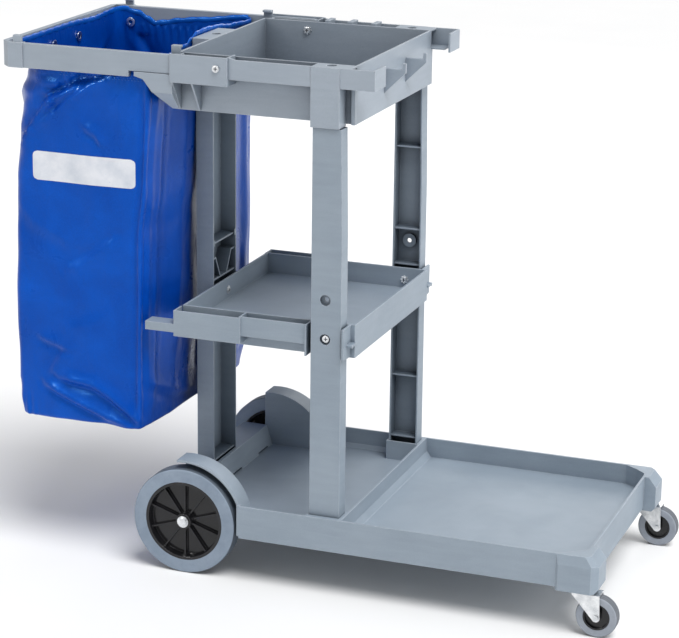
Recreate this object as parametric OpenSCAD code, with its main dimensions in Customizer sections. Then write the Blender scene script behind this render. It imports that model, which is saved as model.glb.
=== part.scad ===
// Housekeeping cart: one-piece platform on two large fixed wheels and two swivel casters, three
// channel uprights, a middle tray, a top bin with side rails and hooks, and a turn-up ring frame
// that carries a hanging bag. Millimetres, +Z up, wheels on z = 0. -X is the bag end, +X the platform end.

/* [Platform] */
// Height of the platform wall tops above the floor
wall_top = 149; // [140:1:160]
// Half width of the platform over its side walls
deck_half = 248; // [230:1:260]
// Height of the moulded platform floor
deck_floor = 110; // [108:1:120]
// Moulded wall thickness
wall = 4; // [3:0.5:5]

/* [Wheels] */
// Radius of the rear wheels
wheel_r = 101.6; // [95:0.1:101.6]
// Width of the rear tyres
wheel_w = 34; // [30:1:36]
// Number of ribs in each wheel hub
hub_ribs = 10; // [5:1:12]
// Radius of the caster wheels
caster_r = 38; // [34:0.5:38]
// Width of the caster wheels
caster_w = 22; // [18:1:22]
// Distance from a caster's swivel axis to its axle
caster_trail = 24; // [20:1:26]

/* [Uprights] */
// Width of the two front uprights at the top
post_w = 53.5; // [50:0.5:56]
// Extra width of the front uprights at the foot
post_grow = 4.5; // [0:0.5:5]
// Sheet thickness of the uprights
post_t = 3; // [2:0.5:4]

/* [Bin and tray] */
// Height of the bin rim above the floor
rim_top = 975; // [960:1:990]
// Height of the middle tray rim above the floor
tray_top = 508; // [480:1:530]
// Height of the middle tray floor
tray_floor = 468; // [450:1:475]

/* [Bag] */
// Depth of the bag below its rim
bag_depth = 705; // [600:5:710]
// Thickness of the bag wall in the solid model
bag_t = 2.5; // [1.5:0.5:4]

/* [Hidden] */

grey = [0.53, 0.58, 0.64];
pale = [0.60, 0.65, 0.70];
black = [0.07, 0.07, 0.08];
zinc = [0.80, 0.81, 0.83];
blue = [0.02, 0.25, 0.68];

axle_x = -235;        // rear axle
axle_z = wheel_r;
arch_o = 118;         // wheel arch, outside and inside radius
arch_i = 114;
arch_y0 = 195;        // wheel arch, inner face and outer lip
arch_y1 = 240;
swivel_x = 533;       // caster swivel axis
swivel_y = 234;
caster_x = swivel_x + caster_trail;
post_x = 38.5;        // centre line of the bolts in the front uprights
post_x0 = 11.5;       // rear edge of the front uprights
post_head = 58.5;     // front edge of their stepped heads
post_y = 235.7;       // their outer faces
post_d = 31;          // their depth
bolt_z = 484.5;       // tray bolts
spare_z = 557;        // spare tray bolt holes
pivot_x = -168;       // bag frame pivot
pivot_z = 958;
bin_y = 204.3;        // bin, outer side faces
rail_y = 238;         // side rails, outer faces
rear_x0 = -298;       // rear box beam of the platform
rear_x1 = -250;

module box(x0, x1, y0, y1, z0, z1) { translate([x0, y0, z0]) cube([x1 - x0, y1 - y0, z1 - z0]); }
module both() { children(); mirror([0, 1, 0]) children(); }
// outline in x, z pulled through y0..y1
module side(y0, y1) { translate([0, y1, 0]) rotate([90, 0, 0]) linear_extrude(y1 - y0) children(); }
// outline in y, z pulled through x0..x1
module across(x0, x1) { translate([x0, 0, 0]) rotate([90, 0, 90]) linear_extrude(x1 - x0) children(); }
module rod_y(x, z, y0, y1, r, n = 48) { translate([x, y1, z]) rotate([90, 0, 0]) cylinder(r = r, h = y1 - y0, $fn = n); }
module rod_x(y, z, x0, x1, r, n = 48) { translate([x0, y, z]) rotate([0, 90, 0]) cylinder(r = r, h = x1 - x0, $fn = n); }

// ---------- platform ----------
module corner_block() {
  difference() {
    intersection() {
      side(-252.5, -190) polygon([[481, 80.6], [551, 80.6], [558, 88], [558, 130], [543, wall_top], [481, wall_top]]);
      across(480, 560) polygon([[-252.5, 80.6], [-252.5, 130], [-248.2, wall_top], [-190, wall_top], [-190, 80.6]]);
      // plan outline: chamfered to the side wall, cut at the outer corner
      linear_extrude(200) polygon([[481, -190], [481, -248], [486, -252.5], [546, -252.5], [558, -241], [558, -190]]);
    }
    // sloped facet over the outer corner
    translate([552, -248, 131]) rotate([0, 0, -45]) rotate([0, 55, 0]) translate([-60, -60, 0]) cube([120, 120, 60]);
    // the block stands outside the walls and under the floor
    box(470, 531, -deck_half + 1, -180, deck_floor - 2, 200);
    // hollow from below, round the stem boss
    difference() {
      side(-246.5, -194) polygon([[485, 80], [549, 80], [554, 90], [554, 125.5], [537, 143], [485, 143]]);
      translate([swivel_x, -swivel_y + 3, 70]) cylinder(r = 25, h = 100, $fn = 64);
      linear_extrude(200) polygon([[534, -250], [560, -250], [560, -224]]);
      box(480, 560, -250, -190, 131, 150);
    }
  }
}

module arch_shell() {
  // inner side wall and curved cover over the wheel
  difference() {
    intersection() {
      rod_y(axle_x, axle_z, -arch_y1, -arch_y0, arch_o, 160);
      box(rear_x1, 0, -260, -100, 86, 240);
    }
    rod_y(axle_x, axle_z, -arch_y1 - 1, -arch_y0 - wall, arch_i, 160);
    rod_y(axle_x, axle_z, -260, -100, 5.2);
  }
  // bearing boss
  difference() {
    rod_y(axle_x, axle_z, -208.1, -arch_y0 - wall + 0.5, 14);
    rod_y(axle_x, axle_z, -260, -100, 5.2);
    box(-300, -150, -220, -190, 70, 87);
  }
}

module socket_near() {
  // foot socket for a front upright, closed on the side-wall side
  difference() {
    box(post_x0 - 4.5, 73.5, -deck_half + wall, -post_y + post_d + 3.3, deck_floor, wall_top);
    box(post_x0 - 1.4, post_x0 + post_w + post_grow + 0.6, -post_y - 1.8, -post_y + post_d + 0.3, deck_floor, 160);
  }
}

module deck_half_near() {
  x_w = -121;   // rear end of the side wall
  // side wall
  box(x_w, 534.5, -deck_half, -deck_half + wall, 86, wall_top);
  // corner fillets at the platform's inner corners
  translate([0, 0, deck_floor - 1]) linear_extrude(wall_top - deck_floor + 1) polygon([[531, -245], [484, -245], [510, -228], [529, -210], [531, -196]]);
  corner_block();
  arch_shell();
  socket_near();
  // lip that closes the arch to the side wall
  box(-127, x_w, -deck_half, -arch_y1 + 0.5, 86, 150);
}

module deck() color(grey) {
  difference() {
    union() {
      both() deck_half_near();
      // platform and well floor
      box(-121, 531, -deck_half + 1, deck_half - 1, deck_floor - 3, deck_floor);
      box(rear_x1 - 1, -121, -arch_y0 - 1, arch_y0 + 1, deck_floor - 3, deck_floor);
      // end wall
      box(530.5, 534.5, -deck_half, deck_half, 86, wall_top);
      // divider with a foot fillet
      side(-deck_half + 1, deck_half - 1) polygon([[73, deck_floor - 1], [73, wall_top], [77, wall_top], [79, 122], [87, deck_floor], [87, deck_floor - 1]]);
      // ledge along the foot of the side walls of the well
      both() across(-122, post_x0 - 4) polygon([[-deck_half + 3, deck_floor - 1], [-deck_half + 3, 119], [-238, deck_floor], [-238, deck_floor - 1]]);
      // rear box beam: front, back, top and end walls
      box(rear_x1 - wall, rear_x1, -arch_y0, arch_y0, 86, wall_top);
      side(-arch_y0, arch_y0) polygon([[rear_x1 - 1, deck_floor - 1], [rear_x1 - 1, wall_top], [rear_x1 + 3, wall_top], [rear_x1 + 15, deck_floor], [rear_x1 + 15, deck_floor - 1]]);
      box(rear_x0, rear_x0 + wall, -arch_y0, arch_y0, 78, wall_top);
      box(rear_x0, rear_x1, -arch_y0, arch_y0, wall_top - wall, wall_top);
      both() box(rear_x0, rear_x1, -arch_y0 - wall, -arch_y0, 78, wall_top);
      // walls of the rear upright's foot socket
      both() box(rear_x0, rear_x1 - 1, -59, -55.3, 90, wall_top);
      box(rear_x0, rear_x1 - 1, -59, 59, 88, 92);
      // stiffening ribs under the platform
      for (y = [-120, 0, 120]) box(74, 531, y - 1.5, y + 1.5, 99, deck_floor - 2);
      for (x = [-60, 190, 300, 410]) box(x - 1.5, x + 1.5, -deck_half + 1, deck_half - 1, 99, deck_floor - 2);
      box(71.5, 74.5, -deck_half + 1, deck_half - 1, 86, deck_floor - 2);
    }
    // opening for the rear upright
    box(-289.3, rear_x1 - wall - 0.5, -55.3, 55.3, 92, 160);
    // side walls stop clear of the wheels
    both() box(-340, -123, -260, -arch_y1 + 0.01, 60, 90);
    // slots at the foot of the rear wall
    for (y = [[-174, -125], [-38, 38], [125, 174]]) box(rear_x1 + 5, rear_x1 + 16, y[0], y[1], deck_floor, deck_floor + 4);
    // bores and seats of the caster stems
    both() translate([swivel_x, -swivel_y, 70]) cylinder(r = 15.7, h = 14.2, $fn = 64);
    both() translate([swivel_x, -swivel_y, 70]) cylinder(r = 5.9, h = 36.2, $fn = 48);
    // axle way
    rod_y(axle_x, axle_z, -250, 250, 5.2);
  }
}

// ---------- uprights ----------
module post_outline(e) {
  // side view outline, wider towards the foot and stepped in at the head, inset by e
  polygon([[post_x0 + e, deck_floor - (e > 0 ? 1 : 0)], [post_x0 + e, 968 + (e > 0 ? 1 : 0)], [post_head - e, 968 + (e > 0 ? 1 : 0)], [post_head - e, 867 - e],
           [post_x0 + post_w - e, 867 - e], [post_x0 + post_w + post_grow - 1 - e, 673], [post_x0 + post_w + post_grow - e, 170], [post_x0 + post_w + post_grow - e, deck_floor - (e > 0 ? 1 : 0)]]);
}
module front_post_solid() {
  ya = -post_y; yb = -post_y + post_d;
  difference() {
    union() {
      // channel: web outside, two flanges inwards
      difference() {
        side(ya, yb) post_outline(0);
        side(ya + post_t, yb + 1) post_outline(post_t);
      }
      // cups for the tray bolts
      for (z = [bolt_z, spare_z]) rod_y(post_x, z, ya + 1, ya + 10, 13.5);
      // cross ribs
      intersection() {
        side(ya + 1, yb - 4) post_outline(1);
        for (z = [118, 158, 285, 512, 583, 745, 862]) box(0, 80, ya + 1, yb - 4, z, z + 3);
      }
    }
    for (z = [bolt_z, spare_z]) rod_y(post_x, z, ya - 1, ya + 7, 10);
    rod_y(post_x, bolt_z, ya, yb + 1, 3.4);
    rod_y(post_x, spare_z, ya, yb + 1, 4.4);
  }
}
module post_near() color(grey) front_post_solid();
module post_far() color(grey) mirror([0, 1, 0]) front_post_solid();

module post_rear() color(grey) {
  xa = -289; xb = -255;
  difference() {
    union() {
      difference() {
        box(xa, xb, -55, 55, 92, 870);
        box(xa + post_t, xb + 1, -55 + post_t, 55 - post_t, 91, 871);
      }
      difference() {
        box(xa, -260.5, -55, 55, 870, 966);
        box(xa + post_t, -259, -55 + post_t, 55 - post_t, 869, 967);
      }
      rod_x(0, bolt_z, xa + 1, xb, 11);
      // cross ribs and the funnel-shaped braces between them
      for (z = [104, 150, 512, 583, 866]) box(xa + 1, xb - 3, -54, 54, z, z + 3);
      for (s = [-1, 1]) across(xa + 1, xb - 3) polygon([[s * 54, 553.5], [s * 54, 556.5], [s * 36, 556.5], [s * 13, 514], [s * 16.2, 514], [s * 38, 553.5]]);
      // small tabs on the edges of the channel
      for (s = [-1, 1]) translate([0, s * 50.5, 0]) box(xb - 1, xb, -3.5, 3.5, 580, 592);
    }
    rod_x(0, bolt_z, xa - 1, xa + 7, 8.5);
    rod_x(0, bolt_z, xa, xb + 1, 3.4);
  }
}

// ---------- top bin ----------
module end_hooks() color(pale) for (y = [-58, 58])
  // flat hooks on the end wall with upturned tips
  side(y - 2.5, y + 2.5) polygon([[81, 902], [121, 941], [121, 958], [115, 958], [115, 947], [81, 947]]);

module bin_rail() {
  difference() {
    union() {
      // trough floor and slim rail with its turned-in end
      box(-147, 108, -rail_y + 1, -bin_y, 939, 942);
      box(-147, 126, -rail_y, -rail_y + wall, 939, rim_top);
      box(122, 126, -rail_y, -182, 939, rim_top);
      // ramp on the rail beside the block
      side(-rail_y, -rail_y + wall) polygon([[-147, 974], [-147, 978], [-134, rim_top], [-134, 974]]);
      // head socket of a front upright, and the plate over it
      box(post_x0 - 3.3, post_head + 3.3, -239.5, -bin_y, 868, rim_top);
      box(post_x0 - 3.3, 81, -rail_y + 0.5, -bin_y, 972, rim_top);
      // corner column
      box(74, 81, -212, -bin_y, 872, 940);
    }
    box(post_x0 - 0.3, post_head + 0.3, -post_y - 0.3, -bin_y + 1, 860, 968.3);
    // tool hole in the socket's plate
    translate([38, -215, 960]) cylinder(r = 9, h = 30, $fn = 64);
  }
}
module bin_rail_near() color(pale) bin_rail();
module bin_rail_far() color(pale) union() {
  mirror([0, 1, 0]) bin_rail();
  // stop ribs across the far trough
  for (x = [-134, -88, -40]) box(x, x + 10, bin_y, rail_y - 1, 941, 979);
}

module bin_block() {
  difference() {
    union() {
      // outer plate, inner plate, floor and front end
      box(-257.5, -147, -243, -239.5, 927, 978);
      box(-257.5, -147, -226.5, -223, 927, 974);
      box(-257.5, -147, -243, -bin_y, 927, 930.5);
      box(-150.5, -147, -243, -bin_y, 927, 978);
      // carrying arm under the ring frame, swept in to the foot of the bin
      intersection() {
        side(-240, -bin_y) polygon([[-328, 932.5], [-328, 940.2], [-254.5, 940.2], [-254.5, 873], [-267, 873.5], [-310.8, 928]]);
        across(-330, -250) polygon([[-240, 941], [-228, 941], [-228, 917], [-bin_y, 882], [-bin_y, 872], [-207.5, 872], [-240, 906]]);
      }
      // gussets under the block
      for (x = [-254.6, -216.5]) across(x, x + 3) polygon([[-243, 928], [-bin_y, 928], [-bin_y, 874], [-208, 874]]);
      // hook for the bag
      box(-257.5, -245, -224, -bin_y, 968, 974);
      box(-264, -247, -219, -214, 972, 989);
      box(-264, -247, -219, -208, 985, 989);
    }
    rod_y(pivot_x, pivot_z, -250, -200, 3.4);
  }
}
module bin_block_near() color(pale) bin_block();
module bin_block_far() color(pale) mirror([0, 1, 0]) bin_block();

module bin_socket_rear() color(pale) difference() {
  // head socket of the rear upright
  box(-293.5, -259, -60, 60, 905, rim_top);
  box(-289.3, -260.2, -55.3, 55.3, 900, 966.3);
  translate([-272, 0, 950]) cylinder(r = 9, h = 40, $fn = 64);
}

module top_bin() color(pale) difference() {
  box(-259, 81, -bin_y, bin_y, 872, rim_top);
  box(-255, 77, -bin_y + wall, bin_y - wall, 876, 990);
  // pivot screw holes
  rod_y(pivot_x, pivot_z, -250, 250, 3.4);
}

// ---------- middle tray ----------
module deep_pocket() {
  box(-256, -125, -237, -234, 457.3, 506);
  box(-256, -253, -237, -204, 457.3, 506);
  box(-128, -125, -237, -204, 457.3, tray_top);
  box(-256, -125, -237, -204, 457.3, 460.3);
}
module shallow_pocket() {
  box(-125.5, 3, -233.5, -230.5, 471.5, tray_top);
  box(0, 3, -237, -204, 450, tray_top);
  box(-125.5, 3, -233.5, -204, 471.5, 474.5);
}
module tray_clip() {
  // clip behind the upright
  difference() {
    box(72, 76, -242, -204, 449, tray_top);
    across(70, 78) polygon([[-243, 440], [-204, 440], [-204, 447], [-243, 452]]);
  }
  rod_x(-224, 474, 75, 87, 3.5, 32);
  box(72, 87, -227, -204, 472, 476);
}
module tray_pockets_near() color(grey) union() {
  deep_pocket();
  shallow_pocket();
  tray_clip();
  // arm towards the bag
  box(-312.5, -255, -237, -233.5, 464, 480);
  box(-312.5, -255, -237, -206, 477, 480);
  box(-312.5, -309, -237, -206, 464, 480);
  box(-312.5, -255, -209, -206, 464, 480);
}
module tray_pockets_far() color(grey) mirror([0, 1, 0]) union() {
  deep_pocket();
  tray_clip();
}

module mid_tray() color(grey) {
  difference() {
    box(-252, 84, -204, 204, 446.5, tray_top);
    box(-248, 80, -200, 200, tray_floor, 520);
    box(-248, 80, -200, 200, 440, tray_floor - 3.5);
    // bolt holes
    for (s = [-1, 1]) rod_y(post_x, bolt_z, min(s * 199, s * 206), max(s * 199, s * 206), 3.4);
    rod_x(0, bolt_z, -254, -247, 3.4);
  }
}

// ---------- fixings ----------
module bolt_y() {
  // along +Y from the head at the origin
  rotate([-90, 0, 0]) { cylinder(r = 6.5, h = 3.6, $fn = 48); translate([0, 0, 3.6]) cylinder(r = 3.2, h = 32, $fn = 48); }
}
module tray_bolts() color(zinc) {
  both() translate([post_x, -post_y + 3.2, bolt_z]) union() {
    translate([0, 0.2, 0]) bolt_y();
    translate([0, 32.8, 0]) rotate([-90, 0, 0]) cylinder(r = 5.6, h = 4.4, $fn = 6);
  }
  translate([-289 + 3.4, 0, bolt_z]) rotate([0, 0, -90]) rotate([-90, 0, 0]) {
    cylinder(r = 6.5, h = 3.6, $fn = 48);
    translate([0, 0, 3.6]) cylinder(r = 3.2, h = 36.8, $fn = 48);
    translate([0, 0, 37.7]) cylinder(r = 5.6, h = 2.8, $fn = 6);
  }
}
module pivot_screws() color(zinc) both() union() {
  rod_y(pivot_x, pivot_z, -246.4, -243, 6.5);
  rod_y(pivot_x, pivot_z, -243.5, -199, 3.2);
  translate([pivot_x, -200.2, pivot_z]) rotate([-90, 0, 0]) cylinder(r = 6, h = 4.4, $fn = 6);
}
module rear_axle() color(zinc) rod_y(axle_x, axle_z, -251, 251, 5);
module axle_caps() color(zinc) both() difference() {
  union() {
    rod_y(axle_x, axle_z, -249, -246.9, 11);
    rod_y(axle_x, axle_z, -252.5, -248, 8.5);
  }
  rod_y(axle_x, axle_z, -251, -240, 5);
}

// ---------- wheels ----------
module wheel_profile_tyre(ri, ro, w, e) {
  polygon([[ri, -w / 2], [ro - e, -w / 2], [ro - e * 0.3, -w / 2 + e * 0.3], [ro, -w / 2 + e],
           [ro, w / 2 - e], [ro - e * 0.3, w / 2 - e * 0.3], [ro - e, w / 2], [ri, w / 2]]);
}
module at_wheel(y) { translate([axle_x, y, axle_z]) rotate([90, 0, 0]) children(); }
module rear_tyre(y) at_wheel(y) rotate_extrude($fn = 160) wheel_profile_tyre(76.5, wheel_r, wheel_w, 2.5);
module rear_hub(y) at_wheel(y) difference() {
  union() {
    rotate_extrude($fn = 128) polygon([[5.3, -19], [15, -19], [16, -4], [68, -3], [71, -17], [76.3, -17],
                                       [76.3, 17], [71, 17], [68, 3], [16, 4], [15, 19], [5.3, 19]]);
    for (i = [0 : hub_ribs - 1]) rotate([0, 0, 90 + i * 360 / hub_ribs]) translate([14, -1.5, -11]) cube([56, 3, 22]);
  }
}
module rear_hub_near() color(black) rear_hub(-227.5);
module rear_hub_far() color(black) rear_hub(227.5);
module rear_tyre_near() color(grey) rear_tyre(-227.5);
module rear_tyre_far() color(grey) rear_tyre(227.5);

// ---------- casters, drawn at the near side ----------
module caster_race() translate([swivel_x, -swivel_y, 80.9]) difference() {
  cylinder(r = 15.2, h = 3.2, $fn = 64);
  translate([0, 0, -1]) cylinder(r = 6.1, h = 6, $fn = 48);
}
module caster_races() color(zinc) both() caster_race();
module caster_fork() {
  a = caster_x;
  // crown plate and stem
  translate([swivel_x, -swivel_y, 77.9]) cylinder(r = 16, h = 2.2, $fn = 64);
  translate([swivel_x, -swivel_y, 79]) cylinder(r = 5.5, h = 26.5, $fn = 48);
  box(a - 45, a + 5.5, -swivel_y - 15.5, -swivel_y + 15.5, 77.9, 80.1);
  // two legs
  for (s = [-1, 1]) difference() {
    side(-swivel_y + (s > 0 ? 13 : -15.5), -swivel_y + (s > 0 ? 15.5 : -13)) union() {
      polygon([[a - 45, 80.1], [a + 5.5, 80.1], [a + 7.2, 39], [a + 3, 33], [a - 5.5, 33], [a - 40, 72], [a - 45, 77]]);
      translate([a, 38]) circle(r = 7.5, $fn = 48);
    }
    rod_y(a, 38, -swivel_y - 20, -swivel_y + 20, 3.2);
  }
}
module caster_bolt() {
  rod_y(caster_x, 38, -swivel_y - 16.5, -swivel_y + 16.5, 3);
  rod_y(caster_x, 38, -swivel_y - 18.5, -swivel_y - 15.6, 5.5);
  translate([caster_x, -swivel_y + 15.6, 38]) rotate([-90, 0, 0]) cylinder(r = 5.5, h = 2.9, $fn = 6);
}
module at_caster() { translate([caster_x, -swivel_y, 38]) rotate([90, 0, 0]) children(); }
module caster_tyre() at_caster() rotate_extrude($fn = 96) wheel_profile_tyre(24.5, caster_r, caster_w, 3);
module caster_hub() at_caster() rotate_extrude($fn = 96)
  polygon([[3.3, -12.2], [8, -12.2], [8.5, -5], [20.5, -5], [21.5, -10.5], [24.3, -10.5], [24.3, 10.5], [21.5, 10.5], [20.5, 5], [8.5, 5], [8, 12.2], [3.3, 12.2]]);
module caster_fork_near() color(zinc) caster_fork();
module caster_fork_far() color(zinc) mirror([0, 1, 0]) caster_fork();
module caster_bolt_near() color(zinc) caster_bolt();
module caster_bolt_far() color(zinc) mirror([0, 1, 0]) caster_bolt();
module caster_tyre_near() color(grey) caster_tyre();
module caster_tyre_far() color(grey) mirror([0, 1, 0]) caster_tyre();
module caster_hub_near() color(black) caster_hub();
module caster_hub_far() color(black) mirror([0, 1, 0]) caster_hub();

// ---------- bag frame and bag ----------
module frame_arm() {
  // side bar: deep part outside the carrying arm, shallow part over it, round tail at the pivot
  difference() {
    union() {
      side(-238, -228) polygon([[-585, 930], [-339.5, 930], [-339.5, 941], [pivot_x, 941], [pivot_x, 975], [-585, 975]]);
      rod_y(pivot_x, pivot_z, -238, -228, 17, 64);
    }
    rod_y(pivot_x, pivot_z, -250, -220, 3.5);
  }
  // thicker end cap at the outer corner
  box(-595, -549, -241, -227.8, 930, 976);
  // hook for the bag
  box(-568, -551, -239, -234, 974, 989);
  box(-568, -551, -239, -229, 985, 989);
}
module bag_frame() color(pale) difference() {
  union() {
    both() frame_arm();
    box(-595, -585, -241, 241, 930, 976);
  }
  // clipped outer corners
  both() translate([0, 0, 900]) linear_extrude(100) polygon([[-596, -242], [-577, -242], [-596, -223]]);
}
bag_x0 = -583.3; bag_x1 = -314; bag_y = 226.3; bag_top = 968;
module rounded(x0, x1, y, r) {
  translate([x0 + r, -y]) square([x1 - x0 - 2 * r, 2 * y]);
  translate([x0, -y + r]) square([x1 - x0, 2 * y - 2 * r]);
  for (px = [x0 + r, x1 - r]) for (py = [-y + r, y - r]) translate([px, py]) circle(r = r, $fn = 48);
}
module bag() color(blue) difference() {
  translate([0, 0, bag_top - bag_depth]) linear_extrude(bag_depth) rounded(bag_x0, bag_x1, bag_y, 22);
  translate([0, 0, bag_top - bag_depth + bag_t]) linear_extrude(bag_depth) rounded(bag_x0 + bag_t, bag_x1 - bag_t, bag_y - bag_t, 22 - bag_t);
}
module bag_grommets() color(zinc) {
  // two on the end wall and one near the outer end of each side wall
  both() difference() {
    rod_x(-52, 940, bag_x0 + bag_t, bag_x0 + bag_t + 2, 9);
    rod_x(-52, 940, bag_x0 + bag_t - 1, bag_x0 + bag_t + 3, 4.5);
  }
  both() difference() {
    rod_y(-552, 944, -bag_y + bag_t, -bag_y + bag_t + 2, 9);
    rod_y(-552, 944, -bag_y + bag_t - 1, -bag_y + bag_t + 3, 4.5);
  }
}

deck();
post_near();
post_far();
post_rear();
top_bin();
bin_rail_near();
bin_rail_far();
bin_block_near();
bin_block_far();
bin_socket_rear();
end_hooks();
mid_tray();
tray_pockets_near();
tray_pockets_far();
rear_axle();
axle_caps();
tray_bolts();
pivot_screws();
caster_races();
bag_frame();
bag();
bag_grommets();
rear_hub_near();
rear_tyre_near();
rear_hub_far();
rear_tyre_far();
caster_fork_near();
caster_bolt_near();
caster_hub_near();
caster_tyre_near();
caster_fork_far();
caster_bolt_far();
caster_hub_far();
caster_tyre_far();
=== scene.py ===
import bpy, math
from mathutils import Matrix, Vector, noise


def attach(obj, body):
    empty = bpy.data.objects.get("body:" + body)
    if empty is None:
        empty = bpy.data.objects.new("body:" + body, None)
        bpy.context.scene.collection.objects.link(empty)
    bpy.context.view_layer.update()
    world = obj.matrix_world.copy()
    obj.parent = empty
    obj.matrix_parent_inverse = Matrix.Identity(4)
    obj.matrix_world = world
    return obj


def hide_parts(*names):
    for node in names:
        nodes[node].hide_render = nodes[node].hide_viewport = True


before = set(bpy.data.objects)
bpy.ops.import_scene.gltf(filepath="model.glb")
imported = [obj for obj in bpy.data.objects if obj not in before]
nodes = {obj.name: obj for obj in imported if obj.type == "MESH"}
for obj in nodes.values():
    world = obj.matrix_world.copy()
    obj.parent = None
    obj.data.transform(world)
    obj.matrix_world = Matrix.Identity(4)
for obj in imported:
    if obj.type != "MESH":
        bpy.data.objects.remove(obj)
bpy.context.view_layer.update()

scn = bpy.context.scene
link = scn.collection.objects.link

# ------------------------------------------------------------------ camera
cam_d = bpy.data.cameras.new("cam")
cam = bpy.data.objects.new("cam", cam_d)
link(cam)
yaw, pitch, roll = 0.3533, 0.2874, 0.0129
cy, sy = math.cos(yaw), math.sin(yaw)
fw = Vector((-sy * math.cos(pitch), cy * math.cos(pitch), -math.sin(pitch)))
rt = Vector((cy, sy, 0))
up = rt.cross(fw)
r2 = rt * math.cos(roll) + up * math.sin(roll)
u2 = -rt * math.sin(roll) + up * math.cos(roll)
cam.matrix_world = Matrix(((r2.x, u2.x, -fw.x, 1.4693), (r2.y, u2.y, -fw.y, -4.0414), (r2.z, u2.z, -fw.z, 1.7252), (0, 0, 0, 1)))
cam_d.sensor_fit = "HORIZONTAL"
cam_d.sensor_width = 36
cam_d.lens = 2387.44 / 679 * 36
cam_d.clip_end = 60
scn.camera = cam
scn.view_settings.view_transform = "Standard"
scn.view_settings.look = "None"

# ------------------------------------------------------------------ light and floor
w = bpy.data.worlds.new("studio")
scn.world = w
w.use_nodes = True
bg = w.node_tree.nodes["Background"]
bg.inputs[0].default_value = (1.0, 1.0, 1.0, 1)
bg.inputs[1].default_value = 0.43


def area(name, loc, target, size, energy, colour=(1, 1, 1)):
    d = bpy.data.lights.new(name, "AREA")
    d.energy, d.size, d.color = energy, size, colour
    o = bpy.data.objects.new(name, d)
    link(o)
    o.location = loc
    o.rotation_euler = (Vector(loc) - Vector(target)).to_track_quat("Z", "Y").to_euler()
    return o


def sun(name, toward, strength, angle):
    """A wide, soft sun that shines from the direction toward."""
    d = bpy.data.lights.new(name, "SUN")
    d.energy, d.angle = strength, math.radians(angle)
    o = bpy.data.objects.new(name, d)
    link(o)
    o.rotation_euler = Vector(toward).to_track_quat("Z", "Y").to_euler()


sun("soft_sun", (0.42, -0.32, 1.0), 2.55, 34)
area("key", (3.8, 0.2, 1.5), (0, 0, 0.5), 2.0, 26)
area("back", (0.2, 4.6, 2.4), (0, 0, 0.4), 2.5, 45)
area("fill", (-0.6, -4.3, 0.45), (-0.1, 0, 0.5), 1.6, 5)
glint = area("glint", (-1.9, -2.6, 2.2), (-0.45, -0.23, 0.6), 0.7, 80)
glint.visible_diffuse = False


# ------------------------------------------------------------------ node helpers
def new_mat(name, base, rough, metal=0.0, **fixed):
    m = bpy.data.materials.new(name)
    m.use_nodes = True
    p = m.node_tree.nodes["Principled BSDF"]
    p.inputs["Base Color"].default_value = (*base, 1)
    p.inputs["Roughness"].default_value = rough
    p.inputs["Metallic"].default_value = metal
    for k, v in fixed.items():
        p.inputs[k.replace("_", " ")].default_value = v
    m.diffuse_color = (*base, 1)
    return m, m.node_tree, p


def nd(t, kind, **v):
    n = t.nodes.new(kind)
    for k, x in v.items():
        if k in n.inputs:
            n.inputs[k].default_value = x
        else:
            setattr(n, k, x)
    return n


def coords(t, scale=(1, 1, 1)):
    c = nd(t, "ShaderNodeTexCoord")
    mp = nd(t, "ShaderNodeMapping")
    mp.inputs["Scale"].default_value = scale
    t.links.new(c.outputs["Object"], mp.inputs["Vector"])
    return mp.outputs["Vector"]


def tex_noise(t, vec, scale, detail=3.0, rough=0.5, distort=0.0):
    n = nd(t, "ShaderNodeTexNoise", Scale=scale, Detail=detail, Roughness=rough, Distortion=distort)
    t.links.new(vec, n.inputs["Vector"])
    return n.outputs["Fac"]


def ramp(t, fac, stops):
    r = nd(t, "ShaderNodeValToRGB")
    el = r.color_ramp.elements
    el[0].position, el[0].color = stops[0][0], (*stops[0][1], 1)
    el[1].position, el[1].color = stops[-1][0], (*stops[-1][1], 1)
    for pos, col in stops[1:-1]:
        e = el.new(pos)
        e.color = (*col, 1)
    t.links.new(fac, r.inputs["Fac"])
    return r.outputs["Color"]


def math_node(t, op, a, b=None, clamp=False):
    n = nd(t, "ShaderNodeMath", operation=op, use_clamp=clamp)
    for i, x in enumerate((a, b)):
        if x is None:
            continue
        if isinstance(x, (int, float)):
            n.inputs[i].default_value = x
        else:
            t.links.new(x, n.inputs[i])
    return n.outputs[0]


def mix(t, fac, a, b, kind="MIX"):
    n = nd(t, "ShaderNodeMix", data_type="RGBA", blend_type=kind)
    for sock, x in ((n.inputs[0], fac), (n.inputs[6], a), (n.inputs[7], b)):
        if isinstance(x, (int, float)):
            sock.default_value = x
        elif isinstance(x, tuple):
            sock.default_value = (*x, 1)
        else:
            t.links.new(x, sock)
    return n.outputs[2]


def bump(t, height, strength, dist, normal=None):
    b = nd(t, "ShaderNodeBump", Strength=strength, Distance=dist)
    t.links.new(height, b.inputs["Height"])
    if normal is not None:
        t.links.new(normal, b.inputs["Normal"])
    return b.outputs["Normal"]


def edges(t, radius, lo_, hi_, samples=4):
    """0 on flats, 1 at convex and concave edges; and the rounded normal."""
    bv = nd(t, "ShaderNodeBevel", samples=samples)
    bv.inputs["Radius"].default_value = radius
    g = nd(t, "ShaderNodeNewGeometry")
    d = nd(t, "ShaderNodeVectorMath", operation="DOT_PRODUCT")
    t.links.new(bv.outputs["Normal"], d.inputs[0])
    t.links.new(g.outputs["Normal"], d.inputs[1])
    mr = nd(t, "ShaderNodeMapRange")
    mr.inputs["From Min"].default_value, mr.inputs["From Max"].default_value = lo_, hi_
    mr.inputs["To Min"].default_value, mr.inputs["To Max"].default_value = 1.0, 0.0
    t.links.new(d.outputs["Value"], mr.inputs["Value"])
    return mr.outputs["Result"], bv.outputs["Normal"]


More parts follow.
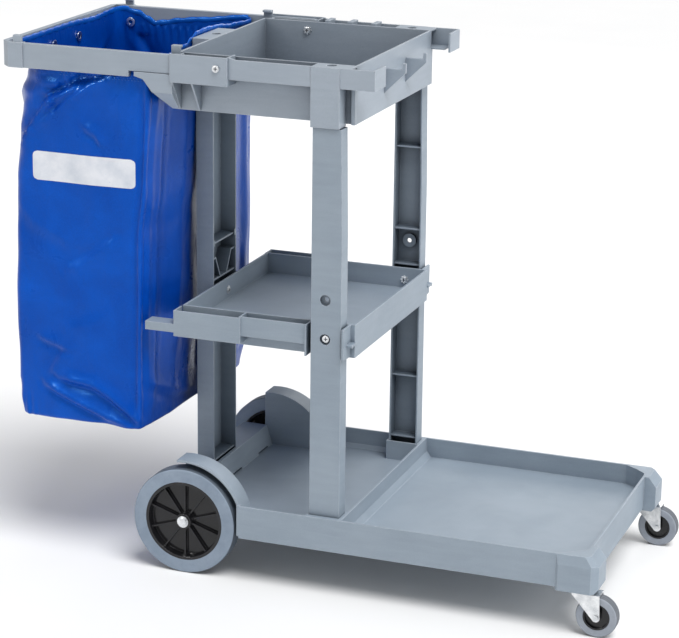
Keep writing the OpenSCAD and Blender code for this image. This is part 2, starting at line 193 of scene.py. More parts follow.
def rough_from(t, p, fac, a, b):
    mr = nd(t, "ShaderNodeMapRange")
    mr.inputs["To Min"].default_value, mr.inputs["To Max"].default_value = a, b
    t.links.new(fac, mr.inputs["Value"])
    t.links.new(mr.outputs["Result"], p.inputs["Roughness"])


# ------------------------------------------------------------------ materials
def plastic(name, base, light, edge, grain=900.0, r0=0.40, r1=0.55, reach=0.10, low=(0.30, 0.33, 0.37), top=0.75):
    m, t, p = new_mat(name, base, 0.45, Specular_IOR_Level=0.42)
    v = coords(t)
    cloudy = tex_noise(t, v, 7.0, 4.0, 0.55)
    flow = tex_noise(t, coords(t, (3, 3, 22)), 4.0, 3.0, 0.5, 0.4)
    col = ramp(t, cloudy, [(0.35, base), (0.65, light)])
    col = mix(t, 0.18, col, ramp(t, flow, [(0.3, tuple(c * 0.82 for c in base)), (0.7, tuple(min(1, c * 1.12) for c in light))]))
    fine = tex_noise(t, v, grain, 2.0, 0.6)
    col = mix(t, 0.06, col, ramp(t, fine, [(0.35, (0.1, 0.1, 0.1)), (0.65, (0.9, 0.9, 0.9))]), "OVERLAY")
    # wear and painted highlight: convex and concave edges are coloured lighter towards the edge colour, broken up by
    # noise
    e, n = edges(t, 0.0016, 0.80, 0.995)
    edge_wear_and_highlight = math_node(t, "MULTIPLY", e, ramp(t, tex_noise(t, v, 45.0, 4.0, 0.65), [(0.3, (0.25, 0.25, 0.25)), (0.62, (1, 1, 1))]))
    col = mix(t, math_node(t, "MULTIPLY", edge_wear_and_highlight, 0.8), col, edge)
    scuff = tex_noise(t, coords(t, (1, 1, 6)), 60.0, 5.0, 0.7, 1.2)
    scf = ramp(t, scuff, [(0.66, (0, 0, 0)), (0.74, (1, 1, 1))])
    col = mix(t, math_node(t, "MULTIPLY", scf, 0.16), col, edge)
    # painted shade: ambient occlusion within reach darkens the colour towards low in the channels and corners, where
    # shade falls
    ao = nd(t, "ShaderNodeAmbientOcclusion", samples=6)
    ao.inputs["Distance"].default_value = reach
    col = mix(t, 1.0, col, ramp(t, ao.outputs["AO"], [(0.12, low), (top, (1, 1, 1))]), "MULTIPLY")
    t.links.new(col, p.inputs["Base Color"])
    rough_from(t, p, tex_noise(t, v, 30.0, 4.0, 0.6), r0, r1)
    n = bump(t, fine, 0.22, 0.0004, n)
    n = bump(t, tex_noise(t, v, 14.0, 2.0), 0.10, 0.004, n)
    t.links.new(n, p.inputs["Normal"])
    return m


GREY = (0.250, 0.305, 0.365)
GREY_L = (0.285, 0.340, 0.400)
# EDGE: lighter colour of the scuffs, and of the edges where it is wear and painted highlight
EDGE = (0.66, 0.71, 0.78)
# all four plastics carry painted shade in their corners; the post and bin copies carry deeper painted shade, from a
# longer reach and a darker low colour
M_mould = plastic("moulded_grey", GREY, GREY_L, EDGE, reach=0.04, low=(0.40, 0.43, 0.47), top=0.6)
M_post = plastic("moulded_grey_post_painted_shade", GREY, GREY_L, EDGE, reach=0.10, low=(0.16, 0.18, 0.21), top=0.8)
M_top = plastic("moulded_pale", (0.300, 0.350, 0.410), (0.335, 0.385, 0.445), (0.76, 0.80, 0.86), 1000.0, 0.34, 0.48, 0.03)
M_bin = plastic("moulded_pale_bin_painted_shade", (0.300, 0.350, 0.410), (0.335, 0.385, 0.445), (0.76, 0.80, 0.86), 1000.0, 0.34, 0.48, 0.30, (0.10, 0.12, 0.15), 0.66)


def rubber(name, base, light):
    m, t, p = new_mat(name, base, 0.6, Specular_IOR_Level=0.35)
    v = coords(t)
    col = ramp(t, tex_noise(t, v, 18.0, 5.0, 0.6), [(0.35, base), (0.65, light)])
    dust = ramp(t, tex_noise(t, v, 140.0, 3.0, 0.6), [(0.5, (0, 0, 0)), (0.75, (1, 1, 1))])
    col = mix(t, math_node(t, "MULTIPLY", dust, 0.18), col, tuple(c * 0.6 for c in base))
    # painted shade: the tread is coloured much darker than the side walls, standing in for the shade it lies in, with
    # grooves round it
    tc = nd(t, "ShaderNodeTexCoord")
    sp = nd(t, "ShaderNodeSeparateXYZ")
    t.links.new(tc.outputs["Normal"], sp.inputs[0])
    side_ = math_node(t, "ABSOLUTE", sp.outputs["Y"])
    tread = ramp(t, side_, [(0.45, (1, 1, 1)), (0.75, (0, 0, 0))])
    col = mix(t, math_node(t, "MULTIPLY", tread, 0.72), col, tuple(c * 0.22 for c in base))
    groove = nd(t, "ShaderNodeTexWave", wave_type="BANDS", bands_direction="Y", Scale=42.0, Distortion=0.0)
    t.links.new(v, groove.inputs["Vector"])
    e, n = edges(t, 0.0018, 0.80, 0.995)
    n = bump(t, math_node(t, "MULTIPLY", groove.outputs["Fac"], tread), 0.5, 0.0012, n)
    # painted highlight: the tyre's edges are coloured lighter
    col = mix(t, math_node(t, "MULTIPLY", e, 0.35), col, tuple(min(1, c * 1.4) for c in light))
    t.links.new(col, p.inputs["Base Color"])
    rough_from(t, p, tex_noise(t, v, 50.0, 3.0), 0.48, 0.7)
    n = bump(t, tex_noise(t, v, 700.0, 3.0), 0.35, 0.0005, n)
    t.links.new(n, p.inputs["Normal"])
    return m


M_tyre = rubber("tyre_rubber", (0.215, 0.270, 0.345), (0.265, 0.325, 0.405))
M_ctyre = rubber("caster_rubber", (0.27, 0.30, 0.35), (0.33, 0.36, 0.41))


def hub_black():
    m, t, p = new_mat("hub_black", (0.008, 0.008, 0.010), 0.18, Specular_IOR_Level=0.42)
    v = coords(t)
    col = ramp(t, tex_noise(t, v, 25.0, 5.0, 0.6), [(0.3, (0.005, 0.005, 0.006)), (0.7, (0.012, 0.012, 0.014))])
    e, n = edges(t, 0.0015, 0.80, 0.995)
    # painted highlight: the hub's edges are coloured lighter
    col = mix(t, math_node(t, "MULTIPLY", e, 0.22), col, (0.10, 0.10, 0.12))
    t.links.new(col, p.inputs["Base Color"])
    rough_from(t, p, tex_noise(t, v, 30.0, 3.0, 0.5), 0.10, 0.24)
    n = bump(t, tex_noise(t, v, 60.0, 2.0), 0.08, 0.0006, n)
    t.links.new(n, p.inputs["Normal"])
    return m


M_hub = hub_black()


def zinc():
    m, t, p = new_mat("bright_zinc", (0.80, 0.81, 0.83), 0.28, 1.0)
    v = coords(t)
    col = ramp(t, tex_noise(t, v, 60.0, 5.0, 0.6), [(0.3, (0.52, 0.54, 0.56)), (0.7, (0.86, 0.87, 0.88))])
    e, n = edges(t, 0.0007, 0.80, 0.995)
    # painted highlight: the zinc parts' edges are coloured lighter
    col = mix(t, math_node(t, "MULTIPLY", e, 0.4), col, (0.97, 0.97, 0.98))
    t.links.new(col, p.inputs["Base Color"])
    rough_from(t, p, tex_noise(t, coords(t, (1, 1, 9)), 160.0, 4.0, 0.7), 0.16, 0.42)
    n = bump(t, tex_noise(t, coords(t, (1, 12, 1)), 240.0, 3.0), 0.10, 0.0004, n)
    t.links.new(n, p.inputs["Normal"])
    return m


M_zinc = zinc()


def vinyl(name, base, deep, light, weave=True):
    m, t, p = new_mat(name, base, 0.30, Specular_IOR_Level=0.50, Coat_Weight=0.09, Coat_Roughness=0.08)
    p.inputs["Specular Tint"].default_value = (0.10, 0.42, 1.0, 1)
    v = coords(t)
    col = ramp(t, tex_noise(t, v, 9.0, 5.0, 0.55, 0.6), [(0.3, deep), (0.5, base), (0.72, light)])
    fine = tex_noise(t, v, 420.0, 2.0, 0.6)
    col = mix(t, 0.10, col, ramp(t, fine, [(0.35, tuple(c * 0.6 for c in base)), (0.65, tuple(min(1, c * 1.5) for c in light))]))
    # painted shade: ambient occlusion darkens the colour inside the bag and in its creases
    ao = nd(t, "ShaderNodeAmbientOcclusion", samples=6)
    ao.inputs["Distance"].default_value = 0.30
    col = mix(t, 1.0, col, ramp(t, ao.outputs["AO"], [(0.15, (0.40, 0.40, 0.45)), (0.6, (1, 1, 1))]), "MULTIPLY")
    t.links.new(col, p.inputs["Base Color"])
    rough_from(t, p, tex_noise(t, v, 16.0, 4.0, 0.6, 0.5), 0.20, 0.40)
    crease = nd(t, "ShaderNodeTexNoise", Scale=26.0, Detail=4.0, Roughness=0.5, Distortion=1.4)
    t.links.new(coords(t, (1, 1, 0.45)), crease.inputs["Vector"])
    n = bump(t, crease.outputs["Fac"], 0.22, 0.006)
    # scrim weave that shows through the coating, 1.3 mm threads
    ws = []
    for d, k in (("X", (1, 1, 1)), ("Z", (1, 1, 1)), ("Y", (1, 1, 1))):
        wv = nd(t, "ShaderNodeTexWave", wave_type="BANDS", bands_direction=d, Scale=240.0, Distortion=0.6, Detail=1.0)
        wv.inputs["Detail Scale"].default_value = 0.3
        t.links.new(v, wv.inputs["Vector"])
        ws.append(wv.outputs["Fac"])
    h = math_node(t, "ADD", math_node(t, "MAXIMUM", ws[0], ws[2]), ws[1])
    n = bump(t, h, 0.12, 0.0003, n)
    t.links.new(n, p.inputs["Normal"])
    return m


BLUE = (0.0002, 0.060, 0.410)
M_bag = vinyl("blue_vinyl", BLUE, (0.0001, 0.047, 0.350), (0.0005, 0.078, 0.500))
M_hem = vinyl("blue_hem", (0.002, 0.095, 0.500), (0.001, 0.070, 0.420), (0.008, 0.130, 0.600))
M_thread = vinyl("blue_thread", (0.05, 0.17, 0.62), (0.03, 0.13, 0.52), (0.08, 0.22, 0.70))


def print_white():
    m, t, p = new_mat("white_print", (0.78, 0.80, 0.84), 0.4, Specular_IOR_Level=0.5)
    v = coords(t)
    col = ramp(t, tex_noise(t, v, 30.0, 5.0, 0.6), [(0.3, (0.60, 0.64, 0.71)), (0.65, (0.76, 0.78, 0.83))])
    fleck = ramp(t, tex_noise(t, v, 220.0, 4.0, 0.7), [(0.66, (0, 0, 0)), (0.72, (1, 1, 1))])
    col = mix(t, math_node(t, "MULTIPLY", fleck, 0.35), col, (0.20, 0.32, 0.66))
    t.links.new(col, p.inputs["Base Color"])
    rough_from(t, p, tex_noise(t, v, 40.0, 3.0), 0.32, 0.5)
    t.links.new(bump(t, tex_noise(t, v, 500.0, 3.0), 0.2, 0.0004), p.inputs["Normal"])
    return m


M_print = print_white()


def floor_mat():
    m, t, p = new_mat("pale_floor", (0.88, 0.88, 0.88), 0.75)
    v = coords(t)
    t.links.new(ramp(t, tex_noise(t, v, 3.0, 3.0), [(0.3, (0.885, 0.887, 0.89)), (0.7, (0.90, 0.90, 0.90))]), p.inputs["Base Color"])
    t.links.new(bump(t, tex_noise(t, v, 60.0, 3.0), 0.03, 0.001), p.inputs["Normal"])
    return m


# ------------------------------------------------------------------ materials on the CAD nodes
def give(names, m):
    for n in names:
        o = nodes.get(n)
        if o is None:
            continue
        o.data.materials.clear()
        o.data.materials.append(m)


give([n for n in nodes if n.startswith(("deck", "mid_tray", "tray_pockets"))], M_mould)
give([n for n in nodes if n.startswith("post")], M_post)
give(["top_bin"], M_bin)
give([n for n in nodes if n.startswith(("bin_", "end_hooks", "bag_frame"))], M_top)
give([n for n in nodes if n.startswith("rear_tyre")], M_tyre)
give([n for n in nodes if n.startswith("caster_tyre")], M_ctyre)
give([n for n in nodes if n.startswith(("rear_hub", "caster_hub"))], M_hub)
give([n for n in nodes if n.startswith(("rear_axle", "axle_caps", "tray_bolts", "pivot_screws", "caster_races", "caster_fork", "caster_bolt", "bag_grommets"))], M_zinc)


# ------------------------------------------------------------------ the bag
def lerp_table(tab, x):
    """tab is [(x, value)] with x rising; eased between the points."""
    if x <= tab[0][0]:
        return tab[0][1]
    for (a, va), (b, vb) in zip(tab, tab[1:]):
        if x <= b:
            k = (x - a) / (b - a)
            k = k * k * (3 - 2 * k)
            return va + (vb - va) * k
    return tab[-1][1]


def seg_dist(px, pz, line):
    """Distance to a polyline, signed by the side, and the share along it."""
    best, side_, along, total = 1e9, 1, 0.0, 0.0
    for (ax, az), (bx, bz) in zip(line, line[1:]):
        dx, dz = bx - ax, bz - az
        ln = math.hypot(dx, dz)
        k = max(0.0, min(1.0, ((px - ax) * dx + (pz - az) * dz) / (ln * ln)))
        qx, qz = ax + k * dx, az + k * dz
        d = math.hypot(px - qx, pz - qz)
        if d < best:
            best, side_, along = d, (1 if (px - ax) * dz - (pz - az) * dx > 0 else -1), total + k * ln
        total += ln
    return best, side_, along / total


def ridge(px, pz, line, amp, wide, skew=0.0, ends=0.15):
    d, s, k = seg_dist(px, pz, line)
    fade = min(1.0, k / ends + 0.35, (1 - k) / ends + 0.35)
    g = amp * fade * math.exp(-((d / wide) ** 1.35))
    if skew:
        g -= 1.15 * skew * fade * math.exp(-((d - wide * 1.5) / wide) ** 2) * (1 if s > 0 else -0.25)
    return g


def blob(px, pz, cx, cz, rx, rz, amp):
    return amp * math.exp(-((px - cx) / rx) ** 2 - ((pz - cz) / rz) ** 2)


TOP, BOT = 968.0, 262.5
R_NL = [(262, 16), (300, 13), (447, 12), (622, 17), (717, 25), (811, 46), (849, 56), (877, 66), (905, 92), (928, 104), (955, 34), (975, 22)]
R_NR = [(262, 11), (330, 9), (620, 8), (890, 9), (940, 16), (975, 14)]
R_FR = [(262, 24), (330, 9), (900, 9), (975, 14)]
R_FL = [(262, 30), (330, 20), (900, 24), (975, 22)]
X1_NEAR = [(262, -329), (330, -326), (638, -321), (723, -312), (889, -303), (925, -305), (955, -296), (972, -272)]
X1_FAR = [(262, -312), (330, -305), (500, -297), (880, -296), (940, -300), (972, -293)]
RIM_X1 = [(-226, -270), (-200, -273), (-150, -286), (-100, -296), (-56, -298.5), (60, -298.5), (132, -298), (206, -294), (226, -292)]
RIM_Z1 = [(-226, 974), (-200, 971), (-115, 966), (-79, 967), (-56, 974), (-30, 982), (12, 983), (59, 980), (132, 972), (206, 968), (226, 970)]
RIM_ZF = [(-583, 973), (-566, 972), (-537, 968), (-518, 958), (-501, 949), (-479, 952), (-447, 958), (-404, 963), (-298, 974), (-290, 971)]
RIM_ZL = [(-226, 973), (-145, 972), (19, 972), (127, 968), (200, 971), (226, 974)]


def near_folds(x, z):
    d = ridge(x, z, [(-433, 909), (-494, 875), (-509, 865), (-551, 807), (-572, 770)], 13.0, 7.5, 8.0)
    d += blob(x, z, -441, 919, 15, 12, -10)
    d += ridge(x, z, [(-500, 868), (-512, 905), (-520, 930)], 6.0, 6, 4.0)
    d += ridge(x, z, [(-492, 880), (-486, 915)], 4.0, 4, 3.0)
    if z > 885:
        k = math.exp(-((x + 472) / 34) ** 2) * min(1, (z - 885) / 25)
        d += 2.4 * k * math.sin(x / 2.1 + 0.06 * z)
    d += 0.8 * math.sin(x / 1.9) * max(0.0, min(1, (z - 905) / 20))
    d += ridge(x, z, [(-382, 922), (-422, 906), (-524, 824)], 6.5, 7, 5.0)
    d += blob(x, z, -362, 884, 58, 26, 4.5)
    d += ridge(x, z, [(-435, 828), (-411, 816), (-400, 800)], 3.6, 6, 2.5)
    d += ridge(x, z, [(-376, 623), (-425, 585), (-469, 556)], 3.6, 8, 3.0)
    d += ridge(x, z, [(-534, 423), (-472, 405)], 3.6, 7, 2.5)
    d += ridge(x, z, [(-481, 400), (-511, 354)], 3.6, 7, 2.5)
    d += ridge(x, z, [(-522, 331), (-464, 306), (-392, 278), (-325, 266)], 9.0, 7, 5.0)
    d += ridge(x, z, [(-490, 348), (-422, 339), (-391, 323), (-351, 295), (-322, 272)], 8.5, 8, 5.5)
    d += ridge(x, z, [(-585, 690), (-540, 640), (-470, 610)], 2.4, 14, 1.5)
    d += ridge(x, z, [(-350, 520), (-400, 470), (-470, 440)], 2.2, 14, 1.5)
    k = math.exp(-((x + 566) / 20) ** 2 - ((z - 284) / 20) ** 2)
    d += 2.8 * k * math.sin(x / 2.2)
    # the seam that doubles the near right corner
    d += ridge(x, z, [(-309, 930), (-309, 889), (-318, 723), (-328, 638), (-333, 267)], 4.5, 5, 4.0)
    return d * max(0.12, min(1.0, (x + 588) / 30))


def right_folds(y, z):
    d = ridge(y, z, [(-205, 930), (-204, 700), (-206, 300)], 4.0, 7, 3.5)
    d += ridge(y, z, [(-182, 880), (-180, 560), (-192, 280)], 4.5, 12, 2.0)
    d += ridge(y, z, [(-95, 900), (-98, 540), (-120, 300)], 6.5, 34, 3.0)
    d += ridge(y, z, [(-15, 930), (0, 600), (-10, 300)], -5.0, 24)
    d += ridge(y, z, [(110, 900), (120, 600), (95, 320)], 4.0, 26, 2.0)
    d += ridge(y, z, [(190, 905), (200, 560), (180, 300)], 3.5, 14, 2.5)
    d += ridge(y, z, [(-200, 350), (-90, 300), (30, 282), (200, 330)], 4.0, 10, 2.5)
    return d


def far_folds(x, z):
    d = ridge(x, z, [(-540, 930), (-500, 860), (-430, 800), (-330, 770)], 6.0, 12, 3.0)
    d += ridge(x, z, [(-350, 930), (-400, 850), (-520, 760)], 5.0, 10, 3.0)
    d += ridge(x, z, [(-560, 420), (-480, 380), (-350, 350)], 4.0, 12, 2.5)
    d += ridge(x, z, [(-330, 300), (-420, 285), (-560, 330)], 6.0, 8, 3.5)
    d += ridge(x, z, [(-545, 800), (-540, 600), (-552, 400)], 4.0, 14, 2.0)
    d += 1.8 * math.sin(x / 2.6) * max(0.0, min(1, (z - 900) / 30)) * (0 if z > 940 else 1)
    return d


def left_folds(y, z):
    calm = max(0.0, min(1.0, (925 - z) / 40))
    d = ridge(y, z, [(-190, 900), (-120, 780), (40, 700)], 6.0, 16, 3.0)
    d += ridge(y, z, [(190, 910), (120, 820), (-60, 620)], 5.0, 14, 3.0)
    d += ridge(y, z, [(-150, 640), (-140, 460), (-170, 300)], 4.0, 20, 2.0)
    d += ridge(y, z, [(150, 600), (160, 420), (130, 290)], 4.5, 22, 2.0)
    d += ridge(y, z, [(-210, 330), (-80, 296), (90, 300), (210, 345)], 6.0, 10, 3.5)
    return d * calm


def outline(z, n_edge, n_arc):
    """One level of the bag before folds: [(x, y, nx, ny, face)]."""
    x0 = lerp_table([(262, -578), (300, -583), (900, -582.6), (975, -582.8)], z)
    yn = -226 + 1.2 * math.exp(-((z - 600) / 240) ** 2) - 0.0
    yf = 226.0
    x1n, x1f = lerp_table(X1_NEAR, z), lerp_table(X1_FAR, z)
    up_ = max(0.0, min(1.0, (z - 930) / 34))
    rs = [lerp_table(r, z) for r in (R_NL, R_NR, R_FR, R_FL)]
    out = []

    def x1_at(y):
        k = (y + 226) / 452
        body = x1n + (x1f - x1n) * k + 6.0 * math.sin(math.pi * k) * (1 - up_)
        return body * (1 - up_ * up_) + lerp_table(RIM_X1, y) * up_ * up_

    def arc(cx, cy_, r, a0, face):
        for i in range(n_arc):
            a = math.radians(a0 + 90 * i / n_arc)
            out.append((cx + r * math.cos(a), cy_ + r * math.sin(a), math.cos(a), math.sin(a), face))

    r = rs[0]
    arc(x0 + r, yn + r, r, 180, "nl")
    xr = x1_at(-226)
    ex = n_edge[0]
    for i in range(ex):
        k = i / ex
        out.append((x0 + rs[0] + (xr - rs[1] - x0 - rs[0]) * k, yn, 0, -1, "near"))
    arc(xr - rs[1], yn + rs[1], rs[1], 270, "nr")
    ey = n_edge[1]
    for i in range(ey):
        y = yn + rs[1] + (yf - rs[2] - yn - rs[1]) * i / ey
        out.append((x1_at(y), y, 1, 0, "right"))
    xf = x1_at(226)
    arc(xf - rs[2], yf - rs[2], rs[2], 0, "fr")
    for i in range(ex):
        out.append((xf - rs[2] + (x0 + rs[3] - xf + rs[2]) * i / ex, yf, 0, 1, "far"))
    arc(x0 + rs[3], yf - rs[3], rs[3], 90, "fl")
    for i in range(ey):
        out.append((x0, yf - rs[3] + (yn + rs[0] - yf + rs[3]) * i / ey, -1, 0, "left"))
    return out


def rim_z(x, y, face):
    if face in ("right", "nr", "fr"):
        return lerp_table(RIM_Z1, y)
    if face == "far":
        return lerp_table(RIM_ZF, x)
    if face in ("left", "nl", "fl"):
        return lerp_table(RIM_ZL, y)
    return 966 + 1.5 * math.sin(x / 31)


def fold(x, y, z, nx, ny, face):
    """Outward push of the folds at a point of the plain outline."""
    wn = max(0.0, -ny) ** 2
    wf = max(0.0, ny) ** 2
    wr = max(0.0, nx) ** 2
    wl = max(0.0, -nx) ** 2
    d = 0.0
    if wn > 0.02:
        d += wn * near_folds(x, z)
    if wf > 0.02:
        d += wf * far_folds(x, z)
    if wr > 0.02:
        d += wr * right_folds(y, z)
    if wl > 0.02:
        d += wl * left_folds(y, z)
    calm = max(0.12, min(1.0, (950 - z) / 60))
    d += calm * 3.4 * noise.noise(Vector((x / 120, y / 120, z / 190)))
    d += calm * 1.3 * noise.noise(Vector((x / 34 + 7, y / 34, z / 60)))
    # the middle of each panel bellies out a little, low down
    belly = math.exp(-((z - 430) / 230) ** 2)
    d += 3.0 * belly * (wn * math.sin(math.pi * max(0, min(1, (x + 583) / 260))) + wf * math.sin(math.pi * max(0, min(1, (x + 583) / 280))))
    return d


def bag_point(x, y, z, nx, ny, face):
    d = fold(x, y, z, nx, ny, face)
    X, Y = x + nx * d, y + ny * d
    if z > 920:  # inside the ring frame
        X, Y = max(X, -584.2), max(-227.0, min(227.0, Y))
        if abs(y) > 190 and z < 960 and X > -300 and z > 925:
            X = min(X, -296)
    return X, Y


def bag_mesh():
    ne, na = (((60, 84), 8))
    rows = 140
    verts, faces = [], []
    n = 0
    for j in range(rows + 1):
        v = j / rows
        zr = TOP + (BOT + 7 - TOP) * v
        loop = outline(zr, ne, na)
        n = len(loop)
        for x, y, nx, ny, f in loop:
            top_z = rim_z(x, y, f)
            k = max(0.0, 1 - v / 0.10)
            z = zr + (top_z - TOP) * k
            X, Y = bag_point(x, y, z, nx, ny, f)
            verts.append((X / 1000, Y / 1000, z / 1000))
    base = outline(BOT + 7, ne, na)
    cx, cy_ = -452.0, 0.0
    last = [verts[rows * n + i] for i in range(n)]
    # turn under and close the bottom
    rings = [(0.997, BOT + 4.0), (0.990, BOT + 1.8), (0.96, BOT + 0.6), (0.88, BOT + 0.2), (0.78, BOT + 0.8), (0.64, BOT + 1.6), (0.48, BOT + 2.2), (0.30, BOT + 2.5), (0.12, BOT + 2.6)]
    for s, z in rings:
        for i in range(n):
            x, y = last[i][0] * 1000, last[i][1] * 1000
            x, y = cx + (x - cx) * s, cy_ + (y - cy_) * s
            wob = 1.6 * noise.noise(Vector((x / 45, y / 45, 3.0))) + 1.2 * math.sin(x / 23 + y / 37) * (1 - s)
            verts.append((x / 1000, y / 1000, (z + (wob if s < 0.97 else 0.4 * wob)) / 1000))
    total = rows + len(rings)
    for j in range(total):
        for i in range(n):
            a, b = j * n + i, j * n + (i + 1) % n
            faces.append((a, a + n, b + n, b))
    verts.append((cx / 1000, cy_ / 1000, (BOT + 2.6) / 1000))
    c = len(verts) - 1
    for i in range(n):
        faces.append((total * n + i, c, total * n + (i + 1) % n))
    return verts, faces, n, [Vector(verts[i]) for i in range(n)]


def make(name, verts, faces, mat, smooth=True):
    me = bpy.data.meshes.new(name)
    me.from_pydata([tuple(v) for v in verts], [], faces)
    me.update()
    o = bpy.data.objects.new(name, me)
    link(o)
    me.materials.append(mat)
    if smooth:
        me.polygons.foreach_set("use_smooth", [True] * len(me.polygons))
    return o


bv, bf, bn, rim = bag_mesh()
bag = make("bag_shell", bv, bf, M_bag)
sol = bag.modifiers.new("thickness", "SOLIDIFY")
sol.thickness, sol.offset = 0.0011, 0.0
sub = None
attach(bag, "bag_body")
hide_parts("bag")


def hem():
    """Folded hem round the rim: a flat tube that puckers at its stitches."""
    n, k = len(rim), 10
    step, verts, faces = 1, [], []
    run = 0.0
    for i in range(n):
        p, q, o = rim[i], rim[(i + 1) % n], rim[i - 1]
        t = (q - o).normalized()
        out = t.cross(Vector((0, 0, 1))).normalized()
        upv = out.cross(t).normalized()
        run += (p - o).length
        puck = 0.5 + 0.5 * math.sin(run * 1000 / 7.5 * math.pi / 2)
        hh = 0.0052 + 0.0010 * puck
        ww = 0.0013 + 0.0008 * puck
        c = p - Vector((0, 0, 0.0046)) + out * 0.0003
        for a in range(k):
            th = 2 * math.pi * a / k
            verts.append(c + out * (ww * math.cos(th)) + upv * (hh * math.sin(th)))
    for i in range(n):
        for a in range(k):
            j, b = (i + 1) % n, (a + 1) % k
            faces.append((i * k + a, j * k + a, j * k + b, i * k + b))
    o = make("bag_hem", verts, faces, M_hem)
    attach(o, "bag_body")
    return o


def capsule(verts, faces, a, b, nrm, r):
    """A short flattened stitch from a to b on the surface."""
    t = (b - a).normalized()
    s = nrm.cross(t).normalized()
    i0 = len(verts)
    rings = [(0.0, 0.25), (0.12, 0.85), (0.5, 1.0), (0.88, 0.85), (1.0, 0.25)]
    for f, g in rings:
        c = a.lerp(b, f) + nrm * (r * 0.5 * math.sin(math.pi * f))
        for k in range(6):
            th = math.pi * 2 * k / 6
            verts.append(c + s * (r * g * math.cos(th)) + nrm * (r * 0.8 * g * math.sin(th)))
    for j in range(4):
        for k in range(6):
            p, q = i0 + j * 6 + k, i0 + j * 6 + (k + 1) % 6
            faces.append((p, q, q + 6, p + 6))
    faces.append(tuple(i0 + k for k in range(5, -1, -1)))
    faces.append(tuple(i0 + 24 + k for k in range(6)))


def surface_ring(z, step):
    """Points and normals on the bag at a level, about every step mm."""
    loop = outline(z, (260, 430), 10)
    pts, last = [], None
    for x, y, nx, ny, f in loop:
        X, Y = bag_point(x, y, z, nx, ny, f)
        p = Vector((X, Y, z)) / 1000
        if last is None or (p - last).length >= step / 1000:
            pts.append((p, Vector((nx, ny, 0)), f))
            last = p
    return pts


def stitches():
    verts, faces = [], []
    for z in (925.0, 921.0):
        ring = surface_ring(z, 3.1)
        for i in range(0, len(ring) - 1, 2):
            (a, na, _), (b, nb, _) = ring[i], ring[i + 1]
            if (b - a).length > 0.008:
                continue
            nrm = (na + nb).normalized()
            capsule(verts, faces, a + nrm * 0.0008, b + nrm * 0.0008, nrm, 0.00055)
    o = make("bag_stitches", verts, faces, M_thread)
    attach(o, "bag_body")
    return o


def patch():
    """A plain printed panel on the near side, lying on the folds."""
    x0, x1, z0, z1, r = -541.0, -334.0, 722.0, 776.0, 9.0
    nx_, nz_ = 84, 24
    verts, faces = [], []
    for j in range(nz_ + 1):
        z = z0 + (z1 - z0) * j / nz_
        inset = 0.0
        dz = min(z - z0, z1 - z)
        if dz < r:
            inset = r - math.sqrt(max(0.0, r * r - (r - dz) ** 2))
        for i in range(nx_ + 1):
            x = x0 + inset + (x1 - x0 - 2 * inset) * i / nx_
            yn = -226 + 1.2 * math.exp(-((z - 600) / 240) ** 2)
            _, Y = bag_point(x, yn, z, 0, -1, "near")
            verts.append((x / 1000, (Y - 1.1) / 1000, z / 1000))
    for j in range(nz_):
        for i in range(nx_):
            a = j * (nx_ + 1) + i
            faces.append((a, a + 1, a + nx_ + 2, a + nx_ + 1))
    o = make("bag_patch", verts, faces, M_print)
    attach(o, "bag_body")
    return o


extra = [hem(), stitches(), patch()]

# ------------------------------------------------------------------ toothed nuts, and cross recesses on the screws drawn as dark solids of painted shade
def frame_at(c, axis):
    a = Vector(axis).normalized()
    s_ = Vector((0, 0, 1)) if abs(a.z) < 0.9 else Vector((1, 0, 0))
    e1 = a.cross(s_).normalized()
    return Vector(c) / 1000, e1, a.cross(e1), a


def prism(verts, faces, pts, c, e1, e2, a, h0, h1, slope=0.0):
    """A plate with outline pts (mm) from h0 to h1 along a, its top drawn in by slope."""
    i0, n = len(verts), len(pts)
    for h, k in ((h0, 1.0), (h0 + (h1 - h0) * 0.7, 1.0), (h1, 1.0 - slope)):
        for u, v in pts:
            verts.append(c + (e1 * u * k + e2 * v * k + a * h) / 1000)
    for j in (0, 1):
        for i in range(n):
            q = (i + 1) % n
            faces.append((i0 + j * n + i, i0 + j * n + q, i0 + (j + 1) * n + q, i0 + (j + 1) * n + i))
    faces.append(tuple(i0 + i for i in range(n - 1, -1, -1)))
    faces.append(tuple(i0 + 2 * n + i for i in range(n)))


def toothed(r_out, r_in, teeth):
    pts = []
    for i in range(teeth):
        for da, rr in ((-0.30, r_in), (-0.17, r_out), (0.17, r_out), (0.30, r_in)):
            th = 2 * math.pi * (i + da) / teeth
            pts.append((rr * math.cos(th), rr * math.sin(th)))
    return pts


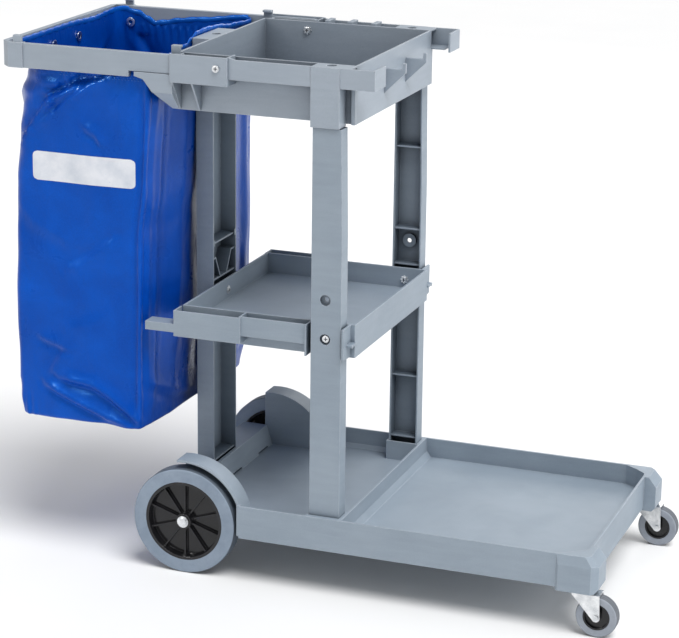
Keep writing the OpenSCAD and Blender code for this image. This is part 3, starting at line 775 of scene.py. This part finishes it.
def cross(r, w_):
    return [(-w_, -r), (w_, -r), (w_, -w_), (r, -w_), (r, w_), (w_, w_), (w_, r), (-w_, r), (-w_, w_), (-r, w_), (-r, -w_), (-w_, -w_)]


# painted shade: a dark metal for the solid crosses that stand in for the shade inside the screw recesses
def recess_shade_metal():
    m, t, p = new_mat("recess_painted_shade", (0.05, 0.05, 0.055), 0.4, 1.0)
    v = coords(t)
    t.links.new(ramp(t, tex_noise(t, v, 300.0, 3.0), [(0.3, (0.03, 0.03, 0.035)), (0.7, (0.10, 0.10, 0.11))]), p.inputs["Base Color"])
    rough_from(t, p, tex_noise(t, v, 200.0, 3.0), 0.3, 0.6)
    t.links.new(bump(t, tex_noise(t, v, 600.0, 2.0), 0.2, 0.0003), p.inputs["Normal"])
    return m


M_recess_shade = recess_shade_metal()
wv_, wf_, rv, rf = [], [], [], []
for c, ax in (((-168, 200.2, 958), (0, -1, 0)), ((-168, -200.2, 958), (0, 1, 0)), ((38.5, 199.9, 484.5), (0, -1, 0)), ((38.5, -199.9, 484.5), (0, 1, 0)), ((-247.9, 0, 484.5), (1, 0, 0))):
    prism(wv_, wf_, toothed(8.6, 6.7, 8), *frame_at(c, ax), 0.0, 1.1, 0.06)
washers = make("toothed_washers", wv_, wf_, M_zinc, False)
for c, ax in (((-168, -246.4, 958), (0, -1, 0)), ((-168, 246.4, 958), (0, 1, 0)), ((38.5, -232.3, 484.5), (0, -1, 0)), ((38.5, 232.3, 484.5), (0, 1, 0)), ((-285.6, 0, 484.5), (-1, 0, 0)),
              ((-168, 195.8, 958), (0, -1, 0)), ((-168, -195.8, 958), (0, 1, 0)), ((38.5, 195.3, 484.5), (0, -1, 0)), ((38.5, -195.3, 484.5), (0, 1, 0)), ((-245.1, 0, 484.5), (1, 0, 0))):
    c0, e1, e2, a = frame_at(c, ax)
    prism(rv, rf, cross(3.6, 0.85), c0, e1, e2, a, -0.3, 0.12, 0.05)
recess = make("screw_recesses", rv, rf, M_recess_shade, False)
for o in (washers, recess):
    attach(o, "chassis")

# ------------------------------------------------------------------ floor
fl = make("floor", [(-14, -14, -0.0005), (14, -14, -0.0005), (14, 14, -0.0005), (-14, 14, -0.0005)], [(0, 1, 2, 3)], floor_mat(), False)
